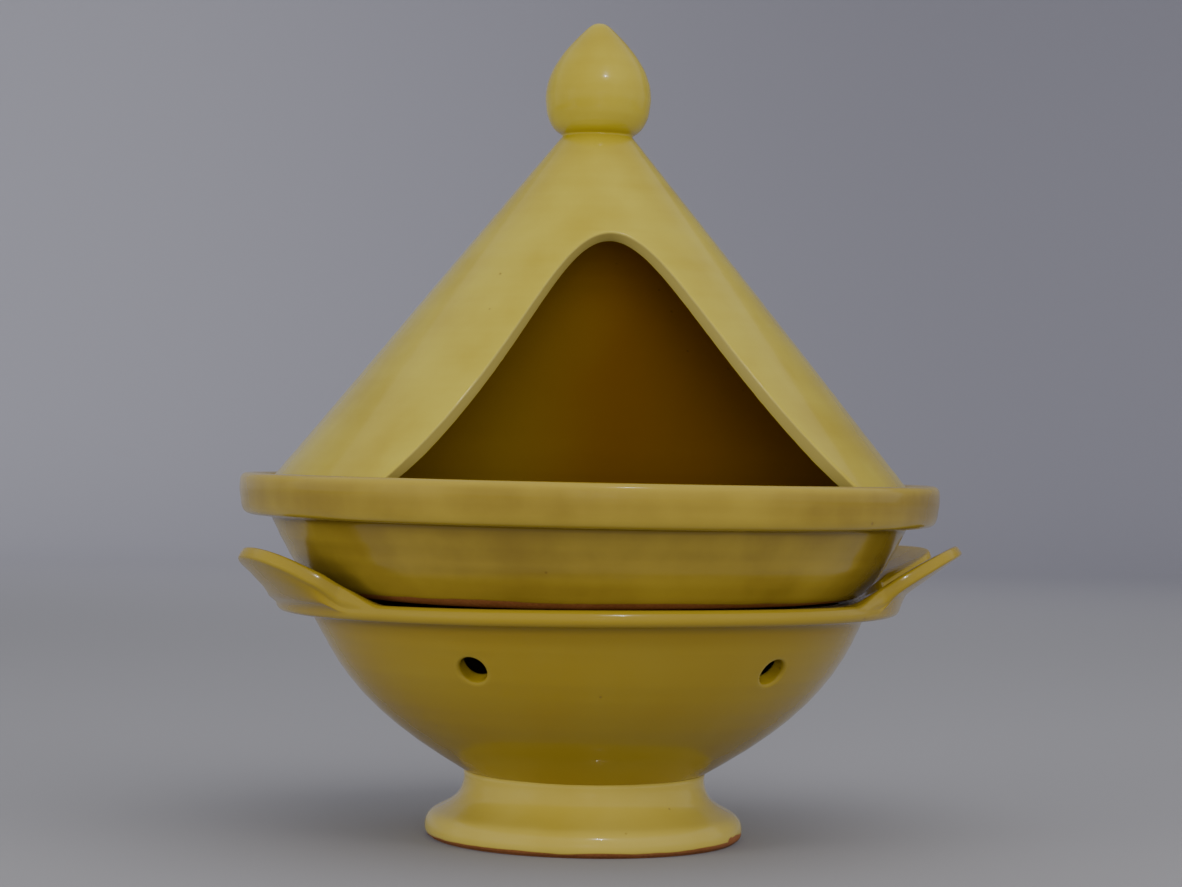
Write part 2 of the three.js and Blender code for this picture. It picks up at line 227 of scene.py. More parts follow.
def glaze(name, deep, pale, bare=None, chip=None, shade_inside_and_cut=None):
    """Glossy lead-yellow glaze: deep where it lies thick, pale where it runs thin over an edge, with clouds,
    soft downward runs, rings left by throwing, pinholes and iron specks. Under a wavy line at the height
    bare, and in a chip, the red clay body shows, matt and gritty. Three colours may be given for the inside
    and the cut: two, from left to right, paint light and shade on the inside, where the edge is -1, in a
    browner, redder tone than the glaze for light bounced round in there, paler at the left and darker at the
    right; the third is a greyer glaze on the cut, where the edge is 1."""
    material = bpy.data.materials.new(name)
    material.use_nodes = True
    material.node_tree.nodes.clear()
    pen = Wash(material.node_tree)
    place = pen.node("ShaderNodeTexCoord", out="Object")
    height = pen.node("ShaderNodeSeparateXYZ", (), {0: place}, out="Z")
    edge = pen.node("ShaderNodeAttribute", {"attribute_name": "edge"}, out="Fac")
    broad = place.cloud(9, 3)
    mottle = place.cloud(38, 4)
    runs = place.cloud(34, 3, (1, 1, 0.12))
    rings = place.cloud(1.0, 2, (7, 7, 210))
    skin = place.cloud(420, 2)

    thin = 0.9 * broad + 0.7 * mottle + 0.55 * runs + 0.25 * rings + 0.55 * edge - 0.72
    colour = thin.between(0.0, 1.0).tint(deep, pale)
    if shade_inside_and_cut:
        left, right, raw = shade_inside_and_cut
        aside = pen.node("ShaderNodeSeparateXYZ", (), {0: place}, out="X")
        # Painted light and shade inside: paler at the left, darker and browner at the right.
        inside_shade = (aside + 0.06 * broad).between(-0.01, 0.05).tint(left, right)
        colour = (-0.4 - edge).between(0, 0.5).tint(colour, inside_shade)
        colour = edge.between(0.45, 0.9).tint(colour, raw)
    cells = pen.node("ShaderNodeTexVoronoi", (), {"Vector": place, "Scale": SPECK_CELLS}, out="Distance")
    chance = place.cloud(31, 1)
    speck = (SPECK_RADIUS - cells).between(0, 0.03) * chance.between(0.6, 0.64)
    colour = (speck * 0.55).tint(colour, SPECK)
    roughness = GLAZE_ROUGHNESS + 0.14 * mottle + 0.10 * speck
    coat = 1 - 0.9 * speck
    relief = 0.35 * rings + 0.25 * mottle + 0.03 * skin - 0.3 * speck

    if bare:
        line, wave = bare
        wander = place.cloud(24, 3) - 0.5
        clay = (line + wave * 1.6 * wander - height).between(-0.00025, 0.00025)
        if chip:
            off = pen.node("ShaderNodeVectorMath", {"operation": "SUBTRACT"}, {0: place, 1: chip})
            low = pen.node("ShaderNodeVectorMath", {"operation": "MULTIPLY"}, {0: off, 1: CHIP_SQUASH})
            away = pen.node("ShaderNodeVectorMath", {"operation": "LENGTH"}, {0: low}, out="Value")
            ragged = CHIP_SIZE + CHIP_RAGGED * (place.cloud(260, 3) - 0.5)
            clay = pen.maths("MAXIMUM", clay, (ragged - away).between(0, 0.0005))
        grit = place.cloud(900, 3)
        body = (0.6 * grit + 0.6 * mottle - 0.1).between(0.2, 0.8).tint(CLAY_DARK, CLAY_LIGHT)
        colour = clay.tint(colour, body)
        roughness = roughness + clay * (CLAY_ROUGHNESS - roughness)
        coat = coat * (1 - clay)
        relief = relief - clay * (0.5 - 0.2 * grit)

    bump = pen.node("ShaderNodeBump", (), {"Height": relief, **GLAZE_RELIEF}, out="Normal")
    surface = {"Base Color": colour, "Roughness": roughness, "Coat Weight": coat * GLAZE_COAT, "Normal": bump}
    shader = pen.node("ShaderNodeBsdfPrincipled", (), {**surface, **GLAZE_GLOSS})
    pen.node("ShaderNodeOutputMaterial", (), {"Surface": shader}, out=None)
    return material


foot_rows = outline(
    curve(*FOOT_LIP, 16),
    curve(*FOOT_FLARE, 18),
    curve(*FOOT_HOLLOW, 16),
    bend((FOOT_HOLLOW[-1][0] + FOOT_SOLE_EDGE, FOOT_SOLE_EDGE), FOOT_SOLE_EDGE, 180, 270, 4),
    bend((FOOT_LIP[0][0] - FOOT_SOLE_EDGE, FOOT_SOLE_EDGE), FOOT_SOLE_EDGE, 270, 345, 4),
    [FOOT_LIP[0]],
)
foot_glaze = glaze("yellow_glaze_foot", FOOT_GLAZE_LIT_DEEP, FOOT_GLAZE_LIT_PALE, FOOT_BARE, FOOT_CHIP)
foot_points = thrown(spun(foot_rows, FOOT_COLUMNS), *FOOT_UNEVEN)
foot_patch = patch(foot_points, edges(foot_rows)[:, None])
fired("brazier_foot_glazed", "brazier", ["brazier_foot"], foot_glaze, [foot_patch])

# Brazier bowl: a round fire bowl of red clay, thrown in one with its flange and pierced with five vents while
# leather-hard. Three tongues pulled from slabs are luted onto the flange's edge and bent up by hand as lugs.
# The glaze runs over everything, rounds the edges of the vents and pools in the creases.

BOWL_WALL_CURVE = (51.0, 28.0), (82.2, 46.0), (105.7, 64.0), (117.5, 94.8)
BOWL_UNDERSIDE = np.array(((0.0, 28.0), (26.0, 28.0), (51.0, 28.0)))
BOWL_WALL = 7.0
BOWL_COLUMNS = 600
BOWL_STEP = 2.2
BOWL_UNEVEN = 0.3, 0.07, 2.1
FLANGE_TURN = (117.5, 94.8), (118.5, 97.6), (120.6, 99.3), (124.2, 99.3)
LIP_CENTRE = np.array((130.65, 102.65))
LIP_RADIUS = 3.35
RIM_TOP = 106.0
RIM_DIP = 3.0
RIM_SAG = 1.35, math.radians(-120), math.radians(38)
RIM_DIP_START, RIM_DIP_RISE = 84.0, 16.0
SEAT_TOP = 104.8
SEAT_INNER = np.array((117.5, SEAT_TOP))
SEAT_OUTER = np.array((127.5, RIM_TOP - 0.4))
MOUTH_SHELF = (113.0, SEAT_TOP - 0.15)
MOUTH_EDGE = (110.0, 102.6), 2.0
MOUTH_CURVE = (108.0, 102.6), (108.0, 100.6), (111.2, 99.6)
LUG_ANGLES = np.radians((-15.5, 22.8, 203.0))
LUG_TILTS = np.radians((35.5, 22.8, 33.0))
LUG_TIPS = (160.0, 32.0), (168.0, 50.0), (158.3, 29.0)
LUG_ROOT = (126.6, 43.0), (132.4, 26.0)
LUG_HALF_THICKNESS = np.array((3.1, 3.0, 3.4))
LUG_WEDGE = np.array((0.0, 0.0, 3.0))
LUG_THINNING = 0.025
LUG_SQUARENESS = 0.55
LUG_BASE = np.array((134.5, 111.0))
LUG_FLOW = 10.0
LUG_SHOULDER = np.radians((24.0, 11.0))
LUG_HEEL_DEGREES = -20.0
LUG_EDGE_DEGREES = 25, 80
LUG_EDGE_ROWS = 11
LUG_CREASE_HANDLE = 3.0
LUG_HOLLOW_HANDLES = 8.0, np.array((9.0, 0.0))
LUG_UNDER = 2.2, 3.0
LUG_OVER = 8.0, 6.0
FLANGE_RADIUS = 134.0
VENT_ANGLES = np.radians((24.0, 96.0, 168.0, 240.6, 308.4))
VENT_RADIUS = 6.0
VENT_EDGE = 1.5
VENT_HEIGHT = 78.2
VENT_CELLS = 10, 5
# Darker than the foot's tones, though bowl and foot share one glaze: painted shade, for a bowl that faces down,
# away from the lamps above.
BOWL_GLAZE_SHADED_DEEP = (0.282, 0.188, 0.010, 1)
BOWL_GLAZE_SHADED_PALE = (0.292, 0.206, 0.016, 1)

wall_fine = curve(*BOWL_WALL_CURVE, 2000)
wall_along = np.gradient(wall_fine, axis=0)
wall_along /= np.linalg.norm(wall_along, axis=1)[:, None]
wall_inner = wall_fine + BOWL_WALL * np.stack([-wall_along[:, 1], wall_along[:, 0]], 1)
wall_length = np.concatenate([[0], np.cumsum(np.linalg.norm(np.diff(wall_fine, axis=0), axis=1))])
vent_length = np.interp(VENT_HEIGHT, wall_fine[:, 1], wall_length)


def bowl_wall(length, side):
    """The bowl's wall, outer or inner, as (radius, height) at a length along its curve from the neck."""
    return np.stack([np.interp(length, wall_length, side[:, i]) for i in (0, 1)], -1)


def placed(angle, rows):
    """Points at (radius, height) rows, each at its own angle round the axis."""
    radius, height = np.moveaxis(rows, -1, 0)
    return np.stack([radius * np.cos(angle), radius * np.sin(angle), height + 0 * angle], -1)


def sagged(angle):
    """How far the rim, and the dish that was fired on it, sag at each angle: a soft hump about one place."""
    depth, middle, width = RIM_SAG
    return depth * np.exp(-(((angle - middle + np.pi) % (2 * np.pi) - np.pi) / width) ** 2)


def settled(points):
    """The bowl as it came out of the kiln: uneven from throwing, with a rim that dips towards the left and the
    right, by the square of the cosine of the angle, and sags between them at the front."""
    x, y, z = np.moveaxis(points, -1, 0)
    angle = np.arctan2(y, x)
    across = np.cos(angle)
    dip = RIM_DIP * across ** 2 * (0.55 - 0.45 * across) + sagged(angle)
    dip = dip * np.clip((z - RIM_DIP_START) / RIM_DIP_RISE, 0, 1)
    return thrown(points, *BOWL_UNEVEN) - np.stack([0 * dip, 0 * dip, dip], -1)


turn = np.linspace(0, 2 * np.pi, BOWL_COLUMNS, endpoint=False)
steps_down = np.floor(vent_length / BOWL_STEP)
steps_up = np.floor((wall_length[-1] - vent_length) / BOWL_STEP)
wall_steps = np.arange(-steps_down, steps_up + 1)
wall_rows = np.unique(np.concatenate([[0], vent_length + BOWL_STEP * wall_steps, [wall_length[-1]]]))
vent_row = int(np.argmin(abs(wall_rows - vent_length)))

off_lugs = abs((turn[:, None] - LUG_ANGLES + np.pi) % (2 * np.pi) - np.pi)


def overhang(off_lug, tip_radius, tip_half_width):
    """How far a lug stands out past the flange at each angle from its middle. Seen from above it is a tongue
    that flows out of the round edge, on a cubic curve from its root to its tip."""
    x, y = curve(*LUG_ROOT, (tip_radius, tip_half_width), (tip_radius, 0.0), 400)[::-1].T
    return np.interp(off_lug, np.arctan2(y, x), np.hypot(x, y), right=FLANGE_RADIUS) - FLANGE_RADIUS


stands_out = np.max([overhang(off_lugs[:, i], *LUG_TIPS[i]) for i in range(3)], axis=0)
nearest_lug = off_lugs.argmin(1)
tilt = LUG_TILTS[nearest_lug]
half_root = LUG_HALF_THICKNESS[nearest_lug][:, None]
wedge = LUG_WEDGE[nearest_lug][:, None]
slope = np.stack([np.cos(tilt), np.sin(tilt)], -1)
upward = np.stack([-np.sin(tilt), np.cos(tilt)], -1)
reach = (FLANGE_RADIUS + stands_out - half_root[:, 0] - LUG_BASE[0]) / np.cos(tilt)
reach = np.clip(reach, 0, None)[None, :, None]


def eased(share):
    """A share from 0 to 1 of every column, smoothed at both ends."""
    share = np.clip(share, 0, 1)[None, :, None]
    return share * share * (3 - 2 * share)


lugged = eased(stands_out / LUG_FLOW)
shouldered = eased((LUG_SHOULDER[0] - off_lugs.min(1)) / (LUG_SHOULDER[0] - LUG_SHOULDER[1]))
half_tip = half_root - LUG_THINNING * reach
tip = LUG_BASE + reach * slope


def morph(plain, lug, there):
    """Rows that follow the plain rim where there is no lug, the lug where there is one, and flow between."""
    return plain[:, None, :] * (1 - there) + lug * there


def lip(first, last, count):
    """Rows on the rolled edge of the rim, between two angles in degrees."""
    return bend(LIP_CENTRE, LIP_RADIUS, first, last, count)


def blend(start, leaving, arriving, end, count):
    """The cubic curve of every column at once, with points that differ from column to column."""
    t = np.linspace(0, 1, count)[:, None, None]
    ends = (1 - t) ** 3 * start + t ** 3 * end
    return ends + 3 * t * (1 - t) ** 2 * leaving + 3 * t * t * (1 - t) * arriving


heel = lip(LUG_HEEL_DEGREES, LUG_HEEL_DEGREES, 1)
heel_turn = math.radians(LUG_HEEL_DEGREES)
heel_up = np.array((-math.sin(heel_turn), math.cos(heel_turn)))
under = LUG_BASE - (half_root + wedge) * upward + slope * LUG_UNDER[0] * reach / (reach + LUG_UNDER[1])
under_tip = tip - half_tip * upward
over_tip = tip + half_tip * upward
over = LUG_BASE + half_root * upward + slope * LUG_OVER[0] * reach / (reach + LUG_OVER[1])
share = np.linspace(0, 1, 8)[:, None, None]
flat = curve((LIP_CENTRE[0], RIM_TOP), (129.6, RIM_TOP), (128.6, RIM_TOP - 0.25), SEAT_OUTER, 5)
inward = SEAT_OUTER + np.linspace(0, 1, 9)[:, None] * (SEAT_INNER - SEAT_OUTER)
rolled = np.radians(np.linspace(-90, 90, LUG_EDGE_ROWS))[:, None, None]
edge_out = abs(np.cos(rolled)) ** LUG_SQUARENESS
edge_up = np.sign(np.sin(rolled)) * abs(np.sin(rolled)) ** LUG_SQUARENESS

under_root = blend(heel, heel + LUG_CREASE_HANDLE * heel_up, under - LUG_CREASE_HANDLE * slope, under, 6)
over_root = blend(over, over - LUG_HOLLOW_HANDLES[0] * slope, SEAT_INNER + LUG_HOLLOW_HANDLES[1], SEAT_INNER, 9)
first_lip, last_lip = LUG_EDGE_DEGREES
crease = morph(lip(LUG_HEEL_DEGREES, 0, 6), under_root, lugged)
below = morph(lip(0, first_lip, 8), under + share * (under_tip - under), lugged)
above = morph(outline(lip(last_lip, 90, 4), flat[1:]), over_tip + share * (over - over_tip), shouldered)
hollow = morph(inward, over_root, shouldered)

# The lugs' edge leaves their middle line square to its run, not square to the axis, with softened corners.
middle = placed(turn, tip[0])
run = np.roll(middle, -1, 0) - np.roll(middle, 1, 0)
ray = np.stack([np.cos(turn), np.sin(turn), 0 * turn], -1)
face_up = ray * upward[:, :1] + np.array((0, 0, 1)) * upward[:, 1:]
face_out = np.cross(run, face_up)
face_out /= np.linalg.norm(face_out, axis=1)[:, None]
lug_edge = middle + half_tip * (edge_out * face_out + edge_up * face_up)
rim_edge = placed(turn, lip(first_lip, last_lip, LUG_EDGE_ROWS)[:, None, :])
up_edge = np.linspace(0, 1, LUG_EDGE_ROWS)[:, None, None]
edge_there = lugged + up_edge * (shouldered - lugged)
rolled_edge = rim_edge * (1 - edge_there) + lug_edge * edge_there

plain_out = outline(curve(*FLANGE_TURN, 9), lip(-90, LUG_HEEL_DEGREES, 7))
outer_wall = bowl_wall(wall_rows, wall_fine)
inner_wall = bowl_wall(wall_rows, wall_inner)[::-1]
plain_in = outline([SEAT_INNER], [MOUTH_SHELF], bend(*MOUTH_EDGE, 90, 180, 5),
                   curve(*MOUTH_CURVE, inner_wall[0], 6))
floor = np.stack([np.linspace(inner_wall[-1, 0], 0, 4), np.full(4, inner_wall[-1, 1])], 1)


def ring(rows):
    """Rows of an outline, the same at every angle, as points round the axis."""
    return placed(turn, rows[:, None, :])


rim = np.concatenate([
    ring(plain_out), placed(turn, crease[1:]), placed(turn, below[1:]), rolled_edge[1:-1],
    placed(turn, above), placed(turn, hollow[1:]), ring(plain_in[1:]),
])
rim_sharp = np.concatenate([
    # The first nine rows, under the flange, get -0.8, which darkens the glaze there: part glaze pooled in the
    # crease, part painted shade under the flange.
    np.where(np.arange(len(plain_out)) < 9, -0.8, 0.3)[:, None] + 0 * lugged[..., 0],
    np.linspace(0.4, 0.6, 5)[:, None] - 1.6 * lugged[..., 0],
    np.linspace(0.6, 0.7, 7)[:, None] - 0.7 * lugged[..., 0],
    np.full((LUG_EDGE_ROWS - 2, 1), 0.7) + 0.3 * lugged[..., 0],
    np.linspace(0.7, 0.1, len(above))[:, None] - 0.2 * lugged[..., 0],
    np.linspace(0.1, 0.0, len(hollow) - 1)[:, None] - 0.5 * lugged[..., 0],
    np.linspace(0.3, 0.0, len(plain_in) - 1)[:, None] + 0 * lugged[..., 0],
])

# Each vent takes a window of cells out of both walls. A patch goes from the window's border to the vent's
# rounded edge, through the wall and out to the other window's border.
vent_columns = np.rint(VENT_ANGLES / (2 * np.pi) * BOWL_COLUMNS).astype(int)
across, along = VENT_CELLS
whole = np.ones((len(wall_rows) - 1, BOWL_COLUMNS), bool)
rows_cut = slice(vent_row - along, vent_row + along)
for column in vent_columns:
    whole[rows_cut, np.arange(column - across, column + across) % BOWL_COLUMNS] = False
side_x = np.concatenate([np.arange(-across, across), np.full(2 * along, across),
                         np.arange(across, -across, -1), np.full(2 * along, -across)])
side_y = np.concatenate([np.full(2 * across, -along), np.arange(-along, along),
                         np.full(2 * across, along), np.arange(along, -along, -1)])
vent_out, vent_in = bowl_wall(vent_length, wall_fine), bowl_wall(vent_length, wall_inner)
square = (vent_in - vent_out) / BOWL_WALL


def mouth_of_vent(angle, side, radius, sign):
    """One side of a vent: from the window's border in to the round mouth, then over its rounded edge into the
    wall. Border points and the circle share their directions from the vent's middle."""
    arc = 2 * np.pi / BOWL_COLUMNS * radius
    border = np.stack([side_x * arc, side_y * BOWL_STEP], -1)
    toward = np.arctan2(border[:, 1], border[:, 0])
    circle = np.stack([np.cos(toward), np.sin(toward)], -1)
    t = np.linspace(0, 1, 6)[:, None, None]
    flat_rings = border * (1 - t) + (VENT_RADIUS + VENT_EDGE) * circle * t
    psi = np.radians(np.linspace(18, 90, 5))[:, None, None]
    round_rings = (VENT_RADIUS + VENT_EDGE * (1 - np.sin(psi))) * circle
    spots = np.concatenate([flat_rings, round_rings])
    depth = np.concatenate([np.zeros(6), VENT_EDGE * (1 - np.cos(psi[:, 0, 0]))])[:, None, None]
    rows = bowl_wall(vent_length + spots[..., 1], side) + sign * depth * square
    return placed(angle + spots[..., 0] / radius, rows)


vent_sharp = np.concatenate([np.zeros(5), np.full(6, 0.9)])
vent_patches = []
for angle in VENT_ANGLES:
    outside = mouth_of_vent(angle, wall_fine, vent_out[0], 1)
    inside = mouth_of_vent(angle, wall_inner, vent_in[0], -1)[::-1]
    t = np.linspace(0, 1, 5)[1:-1, None, None]
    bore = outside[-1] * (1 - t) + inside[0] * t
    vent_points = settled(np.concatenate([outside, bore, inside]))
    through_sharp = np.concatenate([vent_sharp, np.zeros(len(bore)), vent_sharp[::-1]])
    vent_patches.append(patch(vent_points, through_sharp[:, None]))

bowl_glaze = glaze("yellow_glaze_bowl", BOWL_GLAZE_SHADED_DEEP, BOWL_GLAZE_SHADED_PALE)
cut = quads(len(wall_rows), BOWL_COLUMNS)
# The outer wall's top 7 mm, just under the flange, fades to -0.8 too: the same pooled glaze and painted shade,
# darker towards the flange.
wall_pool_and_shade = np.interp(wall_rows, wall_length[-1] + np.array((-7.0, 0.0)), (0.0, -0.8))
bowl_patches = [
    patch(settled(ring(BOWL_UNDERSIDE)), 0.0),
    patch(settled(ring(outer_wall)), wall_pool_and_shade[:, None], cut[whole]),
    patch(settled(rim), rim_sharp),
    patch(settled(ring(inner_wall)), 0.0, cut[whole[::-1]]),
    patch(settled(ring(floor)), np.linspace(0.0, -0.3, len(floor))[:, None]),
    *vent_patches,
]
bowl_nodes = ["brazier_bowl", "brazier_lug_front_right", "brazier_lug_back_right", "brazier_lug_left"]
fired("brazier_bowl_glazed", "brazier", bowl_nodes, bowl_glaze, bowl_patches)

# Dish: a shallow serving dish of the same clay, thrown with a heavy rim band and a gallery inside it for the
# lid. It stands loose on the brazier's rim. The glaze stops short of its base, and the rough red edge shows
# below it.

DISH_BASE = 105.1
DISH_TOP = 154.4
DISH_SOLE = (109.0, DISH_BASE), (111.5, DISH_BASE), (113.0, DISH_BASE), (114.0, 105.2)
DISH_WALL_CURVE = (114.0, 105.2), (120.0, 105.9), (127.6, 118.2), (135.6, 134.6)
DISH_THROAT = (135.6, 134.6), (136.4, 136.2), (137.2, 136.7), (138.9, 136.7)
DISH_BAND_UNDER = (138.9, 136.7), (143.5, 136.6), (146.9, 136.5), (148.1, 138.6)
DISH_BAND_FACE = (148.1, 138.6), (149.6, 141.5), (150.0, 147.0), (149.9, 150.2)
DISH_BAND_ROLL = (149.9, 150.2), (149.8, 152.9), (148.9, 154.3), (146.6, DISH_TOP)
DISH_BAND_BACK = (146.6, DISH_TOP), (144.2, DISH_TOP), (142.7, 153.6), (142.5, 151.8)
DISH_GALLERY = (142.5, 151.8), (142.5, 150.2), (142.5, 148.6), (142.5, 148.0)
DISH_GALLERY_CREASE = (141.5, 148.0), 1.0
DISH_GALLERY_EDGE = (132.0, 145.2), 1.8
DISH_INSIDE = (130.2, 145.5), (130.4, 136.0), (119.0, 115.6), (104.0, 113.2)
DISH_COLUMNS = 320
DISH_UNEVEN = 0.35, 0.08, 0.4
DISH_LIFT = 0.9
DISH_LIFT_END, DISH_LIFT_FADE, DISH_LIFT_RADIUS = 124.0, 17.0, 100.0
DISH_BARE = 0.1070, 0.0018
# Darker than the lid's tones of the same yellow glaze: painted shade for the dish's band and wall, which face
# sideways and down.
DISH_GLAZE_SHADED_DEEP = (0.192, 0.127, 0.0145, 1)
DISH_GLAZE_SHADED_PALE = (0.345, 0.250, 0.030, 1)

dish_rows = outline(
    np.linspace((0, DISH_BASE), DISH_SOLE[0], 8),
    curve(*DISH_SOLE, 5),
    curve(*DISH_WALL_CURVE, 26),
    curve(*DISH_THROAT, 7),
    curve(*DISH_BAND_UNDER, 9),
    curve(*DISH_BAND_FACE, 8),
    curve(*DISH_BAND_ROLL, 9),
    curve(*DISH_BAND_BACK, 7),
    curve(*DISH_GALLERY, 3),
    bend(*DISH_GALLERY_CREASE, 0, -90, 4),
    bend(*DISH_GALLERY_EDGE, 90, 180, 5),
    curve(*DISH_INSIDE, 22),
    np.linspace(DISH_INSIDE[-1], (0, DISH_INSIDE[-1][1]), 9),
)


def warped(points):
    """The dish as fired: uneven from throwing, with a base that lifts off the rim a little on two sides, by the
    square of the cosine of the angle, and sags with it at the front."""
    x, y, z = np.moveaxis(points, -1, 0)
    angle = np.arctan2(y, x)
    across = np.cos(angle)
    lift = DISH_LIFT * across ** 2 * (0.6 + 0.4 * across) - sagged(angle)
    lift = lift * np.clip((DISH_LIFT_END - z) / DISH_LIFT_FADE, 0, 1)
    lift = lift * np.clip(np.hypot(x, y) / DISH_LIFT_RADIUS, 0, 1) ** 4
    return thrown(points, *DISH_UNEVEN) + np.stack([0 * lift, 0 * lift, lift], -1)


dish_glaze = glaze("yellow_glaze_dish", DISH_GLAZE_SHADED_DEEP, DISH_GLAZE_SHADED_PALE, DISH_BARE)
dish_patch = patch(warped(spun(dish_rows, DISH_COLUMNS)), edges(dish_rows)[:, None])
fired("dish_glazed", "dish", ["dish"], dish_glaze, [dish_patch])

# Lid: a cone of the same clay, thrown thin, with a tall bell-shaped window cut square through its wall before
# it dried. An onion-shaped knob is thrown onto its top. The cut edges are sponged soft, the glaze covers both
# sides, and the lid stands loose in the dish's gallery.

LID_BOTTOM = 147.3
LID_RADIUS = 140.7
LID_HEIGHT = 154.7
LID_NECK = 15.3
LID_WALL = 5.8
LID_EDGE = 0.9
LID_COLUMNS = 280
LID_START = 1.2
LID_BEVEL = 22.0
LID_CEILING_STEP = 7.4
LID_UNEVEN = 0.4, 0.07, 1.3
WINDOW = (0.0, 109.6), (26.0, 109.6), (46.0, 44.0), (114.3, 0.0)
WINDOW_TURN = math.radians(2.6)
WINDOW_CORNER, WINDOW_FLARE = 4.0, 1.4
LID_THROAT = (16.1, 301.0), (15.2, 302.1), (15.0, 302.6), (15.9, 303.1)
KNOB_BELLY = (15.9, 303.1), (20.9, 305.9), (22.7, 312.0), (22.7, 319.3)
KNOB_SHOULDER = (22.7, 319.3), (22.7, 331.3), (13.0, 341.8), (5.0, 349.3)
KNOB_TIP = (5.0, 349.3), (3.3, 350.7), (2.0, 351.4), (0.0, 351.4)
LID_CEILING = (22.0, 284.8), (16.0, 292.5), (8.0, 293.0), (0.0, 293.0)
LID_GLAZE_DEEP = (0.345, 0.257, 0.011, 1)
LID_GLAZE_PALE = (0.455, 0.373, 0.038, 1)
# Painted light and shade inside the lid, redder than the outside glaze for light bounced in there, paler at the
# left and darker at the right; the third colour is the greyer glaze on the cut.
LID_SHADE_INSIDE_AND_CUT = (0.500, 0.315, 0.021, 1), (0.410, 0.200, 0.012, 1), (0.345, 0.280, 0.075, 1)

lean = math.atan((LID_RADIUS - LID_NECK) / LID_HEIGHT)
rise = np.array((-math.sin(lean), math.cos(lean)))
outward = np.array((math.cos(lean), math.sin(lean)))
level = LID_WALL * math.tan(lean)


def slant(q):
    """(radius, height) on the cone's outside at a distance q up its slope."""
    return np.array((LID_RADIUS, LID_BOTTOM)) + np.asarray(q)[..., None] * rise


# The window's half outline, unrolled: distance round the cone against distance up the slope, drawn back
# from the opening by the radius of the cut's soft edge.
arch = curve(*WINDOW, 3000) / np.array((1, math.cos(lean)))
arch_along = np.gradient(arch, axis=0)
arch_along /= np.linalg.norm(arch_along, axis=1)[:, None]
arch = arch + LID_EDGE * np.stack([-arch_along[:, 1], arch_along[:, 0]], 1)
psi = np.linspace(0, np.pi / 2, 9)
corner_q = LID_START + WINDOW_CORNER * (1 - np.cos(psi))
corner_flare = WINDOW_FLARE * WINDOW_CORNER * (1 - np.sin(psi))
arch_start = int(np.argmin(abs(arch[:, 1] - corner_q[-1])))
arch_pick = np.rint(np.linspace(arch_start, 0, 52)).astype(int)
window_q = np.concatenate([corner_q, arch[arch_pick[1:], 1]])
window_w = np.interp(window_q, arch[::-1, 1], arch[::-1, 0])
window_w[:len(corner_q)] += corner_flare
window_w[-1] = 0.0
window_angle = window_w / slant(window_q)[:, 0]
top_row = len(window_q) - 1

part_round = np.linspace(0, 1, LID_COLUMNS)
crown_q = np.linspace(window_q[-1], (LID_RADIUS - LID_THROAT[0][0]) / math.sin(lean), 22)[1:]
crown = outline(slant(crown_q)[:-1], curve(*LID_THROAT, 9), curve(*KNOB_BELLY, 14),
                curve(*KNOB_SHOULDER, 20), curve(*KNOB_TIP, 7))
outer_rows = np.concatenate([slant(window_q), crown])
inner_q = window_q + level * np.clip(1 - (window_q - LID_START) / LID_BEVEL, 0, 1)
ceiling_q = (LID_RADIUS - LID_CEILING[0][0] - LID_CEILING_STEP) / math.sin(lean)
inner_top_q = np.linspace(window_q[-1], ceiling_q, 18)[1:-1]
inner_rows = np.concatenate([slant(inner_q) - LID_WALL * outward, slant(inner_top_q) - LID_WALL * outward,
                             curve(*LID_CEILING, 12)])


def windowed(rows):
    """Rows of the cone as points, from one side of the window round the back to the other side, in equal steps
    of the angle that the window leaves. Above the window a row goes all the way round."""
    start = np.pad(window_angle, (0, len(rows) - len(window_angle)))[:, None]
    angle = WINDOW_TURN + start + (2 * np.pi - 2 * start) * part_round - np.pi / 2
    return placed(angle, rows[:, None, :])


lid_outside, lid_inside = windowed(outer_rows), windowed(inner_rows)


def border(grid):
    """The closed border of the wall: down one side of the window, round the bottom edge, up the other side."""
    down, around, up = grid[top_row::-1, 0], grid[0, 1:-1], grid[:top_row, -1]
    return np.concatenate([down, around, up])


out_line, in_line = border(lid_outside), border(lid_inside)
half = np.linalg.norm(out_line - in_line, axis=1)[:, None] / 2
through = (out_line - in_line) / (2 * half)
centre_line = (out_line + in_line) / 2
along_line = np.roll(centre_line, -1, 0) - np.roll(centre_line, 1, 0)
into_gap = np.cross(through, along_line)
into_gap /= np.linalg.norm(into_gap, axis=1)[:, None]
into_gap *= -np.sign(into_gap[top_row + LID_COLUMNS // 2, 2])
psi = np.linspace(0, np.pi / 2, 6)[:, None, None]
bulge = centre_line + LID_EDGE * np.sin(psi) * into_gap
to_face = (half - LID_EDGE * (1 - np.cos(psi))) * through
cut_edge = np.concatenate([bulge + to_face, (bulge - to_face)[::-1]])
cut_sharp = np.concatenate([np.linspace(0.3, 1, 6), np.linspace(1, -1, 6)])[:, None]
near_cut = np.exp(-np.minimum(part_round, 1 - part_round) * 60)

outer_sharp = np.clip(edges(outer_rows), -0.2, 0.4)[:, None] + 0 * near_cut
outer_sharp[:top_row] = 0.3 * near_cut
outer_sharp[0] = 0.3
lid_glaze = glaze("yellow_glaze_lid", LID_GLAZE_DEEP, LID_GLAZE_PALE, shade_inside_and_cut=LID_SHADE_INSIDE_AND_CUT)
lid_patches = [
    patch(thrown(lid_outside, *LID_UNEVEN), outer_sharp, around=False),
    # The inside carries edge -1, so it takes the painted light and shade of the lid's inside colours.
    patch(thrown(lid_inside, *LID_UNEVEN), -1.0, around=False),
    patch(thrown(cut_edge, *LID_UNEVEN), cut_sharp),
]
fired("lid_glazed", "lid", ["lid_cone", "lid_knob"], lid_glaze, lid_patches)

